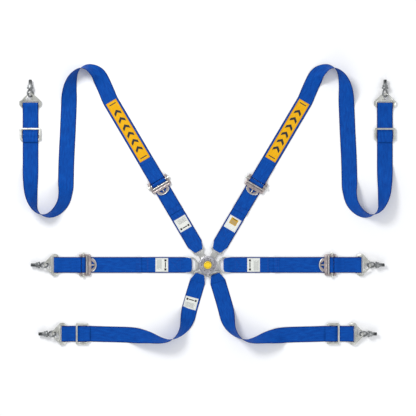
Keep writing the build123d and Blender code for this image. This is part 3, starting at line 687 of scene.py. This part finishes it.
def soften(node, width, material, edge=None):
    """A copy of a CAD node with merged faces, rounded edges and smooth shading, shown in its place."""
    mesh = NODES[node].data.copy()
    shape = bmesh.new()
    shape.from_mesh(mesh)
    for face in shape.faces:
        face.material_index = 0
    bmesh.ops.remove_doubles(shape, verts=shape.verts, dist=2e-6)
    bmesh.ops.dissolve_limit(shape, angle_limit=radians(0.6), verts=shape.verts, edges=shape.edges)
    edges = [e for e in shape.edges if len(e.link_faces) == 2 and e.calc_face_angle(0.0) > radians(CREASE)]
    # When an edge material is given, the bevel faces take it: a darker metal, painted shade along the rounded
    # edges.
    bmesh.ops.bevel(shape, geom=edges, offset=width * MM, segments=2, profile=0.5, affect="EDGES",
                    clamp_overlap=True, offset_type="OFFSET", material=1 if edge else -1)
    shape.to_mesh(mesh)
    shape.free()
    mesh.name = f"soft_{node}"
    mesh.materials.clear()
    mesh.materials.append(material)
    if edge:
        mesh.materials.append(edge)
    mesh.shade_smooth()
    mesh.set_sharp_from_angle(angle=radians(38))
    obj = bpy.data.objects.new(f"soft_{node}", mesh)
    bpy.context.scene.collection.objects.link(obj)
    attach(obj, body_of(NODES[node])[0])
    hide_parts(node)
    return obj


def turned_bar(name, centre, axis, spans, radius_at, material, body, slot, around=40):
    """A round bar along an axis; spans lists distances along it and radius_at(distance, angle) its radius."""
    bag, up = Bag(), Vector((0, 0, 1))
    side = axis.cross(up).normalized()
    rings = []
    for u in spans:
        rings.append([centre + axis * (u * MM) + (side * cos(a) + up * sin(a)) * (radius_at(u, a) * MM)
                      for a in (2 * pi * k / around for k in range(around))])
    bag.ring_solid(rings)
    return bag.done(name, material, body, slot)


def steps(start, stop, step):
    count = max(1, round((stop - start) / step))
    return [start + (stop - start) * k / count for k in range(count + 1)]


def wave(value):
    """Triangle wave from 0 to 1 with a period of 1."""
    value = value % 1.0
    return 2 * value if value < 0.5 else 2 - 2 * value


def thread_on(kind, side, hook, hand):
    """Helical thread over an eyebolt's shank, which is drawn in under it."""
    at = turned(hook, hand)
    out = directions(at[1])[0]
    centre = place(*at, EYE_X, 0, EYE_Z)
    bolt = bpy.data.objects[f"soft_eyebolt_{kind}_{side}"]
    turn_back = bolt.matrix_world.inverted()
    for vertex in bolt.data.vertices:
        spot = bolt.matrix_world @ vertex.co
        u = (spot - centre).dot(out) / MM
        if u > THREAD_FROM + 0.05:
            on_axis = centre + out * (u * MM)
            away = spot - on_axis
            u = min(u, THREAD_TO - 1.0)
            vertex.co = turn_back @ (centre + out * (u * MM) + away * 0.84)

    def radius_at(u, angle):
        depth = 0.78 * wave(u / 1.27 - angle / (2 * pi))
        fade = min(1.0, (THREAD_TO - u) / 0.8)
        return (THREAD_R - depth) * (0.86 + 0.14 * max(0.0, fade))

    turned_bar(f"thread_{kind}_{side}", centre, out, steps(THREAD_FROM + 0.02, THREAD_TO, 0.16), radius_at,
               FORGED, f"eyebolt_{kind}_{side}", "forged_steel", 36)


def knurled_grip(kind, side, strap, hand):
    """Grip bar: diamond knurl between two plain heads."""
    at = turned(strap, hand)
    left = directions(at[1])[1]
    centre = place(*at, strap["adjust"], 0, GRIP_Z)

    def radius_at(u, angle):
        size = abs(u)
        if size > GRIP_HALF - 0.9:
            return GRIP_R - 0.8 * (size - GRIP_HALF + 0.9) / 0.9
        if size > GRIP_HALF - 4.5:
            return GRIP_R
        if size > GRIP_HALF - 5.4:
            return GRIP_R - 0.55
        turn = angle / (2 * pi)
        return GRIP_R - 0.3 * (wave(turn * 22 + u / 1.15) + wave(turn * 22 - u / 1.15)) / 2

    half = steps(24.0, GRIP_HALF - 5.5, 0.3) + [GRIP_HALF - x for x in (5.4, 5.3, 4.5, 4.4, 3, 0.9, 0.4, 0.0)]
    obj = turned_bar(f"grip_{kind}_{side}", centre, left, [-u for u in half[::-1]] + half, radius_at, ZINC,
                     f"adjuster_{kind}_{side}", "adjuster_metal", 66)
    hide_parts(f"grip_bar_{kind}_{side}")


def arc_arrow(bag, at, radius, start, stop, half, low, high):
    """A curved arrow lying flat, between two angles in degrees about the origin."""
    head = 16.0 if stop > start else -16.0
    angles = steps(start, stop - head, (stop - start) / 14)
    outer = [(cos(radians(a)) * (radius + half), sin(radians(a)) * (radius + half)) for a in angles]
    inner = [(cos(radians(a)) * (radius - half), sin(radians(a)) * (radius - half)) for a in angles[::-1]]
    base, tip = radians(stop - head), radians(stop)
    wide = [(cos(base) * (radius + half * 2.3), sin(base) * (radius + half * 2.3)),
            (cos(tip) * radius, sin(tip) * radius),
            (cos(base) * (radius - half * 2.3), sin(base) * (radius - half * 2.3))]
    outline = outer + wide + inner
    if stop < start:
        outline = outline[::-1]
    bag.slab(at, outline, low, high)


def tube_on(bag, at, line, height, radius, around=8):
    """A round rod along a flat line of (along, across) points in a strap's frame."""
    spots = [place(*at, a, c, height) for a, c in line]
    rings = []
    for i, spot in enumerate(spots):
        run = (spots[min(i + 1, len(spots) - 1)] - spots[max(i - 1, 0)]).normalized()
        side = run.cross(Vector((0, 0, 1)))
        size = radius * MM * (0.6 if i in (0, len(spots) - 1) else 1.0)
        rings.append([spot + (side * cos(a) + Vector((0, 0, 1)) * sin(a)) * size
                      for a in (2 * pi * k / around for k in range(around))])
    bag.ring_solid(rings)


def dress_adjuster(kind, side, strap, hand):
    """Pressed relief on an adjuster: a rolled lip, a thin dark slab behind it as painted shade of a groove, and
    the tab's folded rim in brighter zinc as a painted highlight.
    """
    at, adjust = turned(strap, hand), strap["adjust"]
    body, slot = f"adjuster_{kind}_{side}", "adjuster_metal"
    top = ADJUSTER_TOP
    lip, painted_highlight, groove_shade = Bag(), Bag(), Bag()
    wavy = [(adjust - 19.5 + 0.7 * cos(c * 0.42), c) for c in steps(-32, 32, 1.5)]
    tube_on(lip, at, wavy, top - 0.5, 2.3, 12)
    # Painted highlight: the crossbar rod, the tab's rim and its spoke are drawn in brighter zinc than the
    # frame.
    tube_on(painted_highlight, at, [(adjust - 10.6, c) for c in steps(-29, 29, 2.0)], top - 0.6, 1.6, 10)
    rim = [(adjust - 25.0 - 15.6 * sqrt(max(0.0, 1 - (c / 21.0) ** 2)), c) for c in steps(-20.6, 20.6, 1.0)]
    tube_on(painted_highlight, at, rim, top - 0.2, 1.5, 10)
    tube_on(painted_highlight, at, [(adjust - 24.5, 0), (adjust - 30, 0), (adjust - 39, 0)], top - 0.35, 1.1, 10)
    # Painted shade: a thin dark slab where the groove behind the lip is in shade.
    groove_shade.slab(at, block(adjust - 15.6, adjust - 13.4, -30, 30), top - 0.1, top + 0.06)
    lip.done(f"lip_{kind}_{side}", ADJUSTER, body, slot)
    painted_highlight.done(f"rim_{kind}_{side}", ZINC, body, slot)
    groove_shade.done(f"groove_{kind}_{side}", STEEL_SHADED_EDGE, body, slot, smooth=False)


def dress_knob():
    """Dark discs and a dark ring rod, painted shade of notches and of a turned groove, and finger flutes on the
    release knob's top.
    """
    shade_marks, ribs, at = Bag(), Bag(), ((0, 0), 90.0)
    for k in range(6):
        # Painted shade: a dark disc in the notch between two groups of flutes.
        turn = radians(60 * k + 30)
        centre = (cos(turn) * 19.2, sin(turn) * 19.2)
        ring = [(centre[0] + cos(a) * 1.9, centre[1] + sin(a) * 1.9) for a in (pi * j / 8 for j in range(16))]
        shade_marks.slab(at, ring, KNOB_TOP - 0.1, KNOB_TOP + 0.15)
        turn = radians(60 * k)
        for spread in (-7.0, 0.0, 7.0):
            lean = turn + radians(spread)
            rib = [(cos(lean) * r, sin(lean) * r) for r in (17.5, 19, 22, 24.6)]
            tube_on(ribs, at, rib, KNOB_TOP - 0.25, 0.75, 8)
    # Painted shade: a dark rod where the turned groove is in shade.
    groove_shade = [(cos(a) * 14.6, sin(a) * 14.6) for a in (2 * pi * j / 72 for j in range(73))]
    tube_on(shade_marks, at, groove_shade, KNOB_TOP - 0.35, 0.62, 8)
    shade_marks.done("knob_rivets", STEEL_SHADED_EDGE, "knob", "buckle_metal")
    ribs.done("knob_ribs", BUCKLE, "knob", "buckle_metal")


# ---- build ----
for side, hand in (("left", 1), ("right", -1)):
    lap_body = "buckle" if side == "left" else "lap_belt_right"
    lay_belt(SHOULDER, hand, "shoulder", side, f"shoulder_belt_{side}")
    lay_belt(LAP, hand, "lap", side, lap_body)
    lay_shoulder_strap(hand, side)
    lay_lap_strap(hand, side)
    lay_crotch_strap(hand, side)
    sew_belt(SHOULDER, hand, f"shoulder_belt_{side}", f"stitching_shoulder_belt_{side}")
    sew_belt(LAP, hand, lap_body, f"stitching_lap_belt_{side}")
    patch(side, hand)
    label(f"label_shoulder_{side}", turned(SHOULDER, hand), 96.0, 43.5, 41.0, f"shoulder_belt_{side}",
          f"shoulder_label_{side}", side == "right")
    label(f"label_lap_{side}", turned(LAP, hand), 90.7, 40.6, 44.0, lap_body, f"lap_label_{side}", False)
    for kind, strap in (("shoulder", SHOULDER), ("lap", LAP)):
        soften(f"adjuster_frame_{kind}_{side}", 0.6, ADJUSTER, STEEL_SHADED_EDGE)
        dress_adjuster(kind, side, strap, hand)
        knurled_grip(kind, side, strap, hand)
    for kind in ("shoulder", "crotch"):
        soften(f"slide_{kind}_{side}", 0.9, ZINC, ZINC_SHADED_EDGE)
    for kind, hook in (("shoulder", SHOULDER_HOOK), ("lap", LAP_HOOK), ("crotch", CROTCH_HOOK)):
        soften(f"tongue_{kind}_{side}", 0.8, TONGUE, ZINC_SHADED_EDGE)
        soften(f"snap_hook_{kind}_{side}", 1.2, ZINC, ZINC_SHADED_EDGE)
        soften(f"hook_gate_{kind}_{side}", 0.6, ZINC, ZINC_SHADED_EDGE)
        soften(f"eyebolt_{kind}_{side}", 0.35, FORGED)
        thread_on(kind, side, hook, hand)
label("label_crotch_left", ((-54.2, -121.8), 255.0), 0.0, 38.0, 42.0, "crotch_belt_left", "crotch_label_left",
      False, low=THICK)

soften("buckle_base_plate", 0.5, BUCKLE, STEEL_SHADED_EDGE)
soften("buckle_housing", 0.4, BUCKLE)
soften("release_knob", 0.9, BUCKLE, STEEL_SHADED_EDGE)
dress_knob()
soften("knob_cap", 0.25, CAP)
for name in ("release_cam", "latch_pawls", "return_spring"):
    for material_slot in NODES[name].material_slots:
        material_slot.material = INNER
arrows = Bag()
arc_arrow(arrows, ((0, 0), 90.0), 9.3, 65, -65, 0.55, CAP_TOP - 0.1, CAP_TOP + 0.12)
arc_arrow(arrows, ((0, 0), 90.0), 9.3, 245, 115, 0.55, CAP_TOP - 0.1, CAP_TOP + 0.12)
arrows.done("cap_turn_arrows", CAP_INK, "knob", "cap_yellow", smooth=False)


# ---- floor, light and finish ----
floor_mesh = bpy.data.meshes.new("floor")
FLOOR_HALF, FLOOR_Z = 6, -0.0006
corners = [(x * FLOOR_HALF, y * FLOOR_HALF, FLOOR_Z) for x, y in ((-1, -1), (1, -1), (1, 1), (-1, 1))]
floor_mesh.from_pydata(corners, [], [(0, 1, 2, 3)])
floor = bpy.data.objects.new("floor", floor_mesh)
bpy.context.scene.collection.objects.link(floor)
paper, _, _, paper_shader = new_material("paper")
paper_shader.inputs["Base Color"].default_value = (0.95, 0.95, 0.945, 1)
paper_shader.inputs["Roughness"].default_value = 0.9
paper_shader.inputs["Specular IOR Level"].default_value = 0.1
floor_mesh.materials.append(paper)


def panel(name, at, size, power, colour=(1, 1, 1)):
    data = bpy.data.lights.new(name, "AREA")
    data.shape, data.size, data.size_y = "RECTANGLE", size[0], size[1]
    data.energy, data.color = power, colour
    lamp = bpy.data.objects.new(name, data)
    lamp.location = at
    lamp.rotation_euler = (Vector((0, 0.15, 0)) - Vector(at)).to_track_quat("-Z", "Y").to_euler()
    lamp.visible_camera = False
    bpy.context.scene.collection.objects.link(lamp)


panel("key", (-1.5, 1.9, 2.4), (1.2, 0.9), 60)
panel("fill", (2.2, -0.6, 2.2), (1.2, 1.2), 14)
panel("front", (0.2, -2.2, 1.6), (2.0, 0.8), 12)
world = bpy.data.worlds.new("world")
world.use_nodes = True
world.node_tree.nodes["Background"].inputs["Color"].default_value = (0.93, 0.95, 1.0, 1)
world.node_tree.nodes["Background"].inputs["Strength"].default_value = 0.62
bpy.context.scene.world = world
bpy.context.scene.view_settings.view_transform = "Standard"
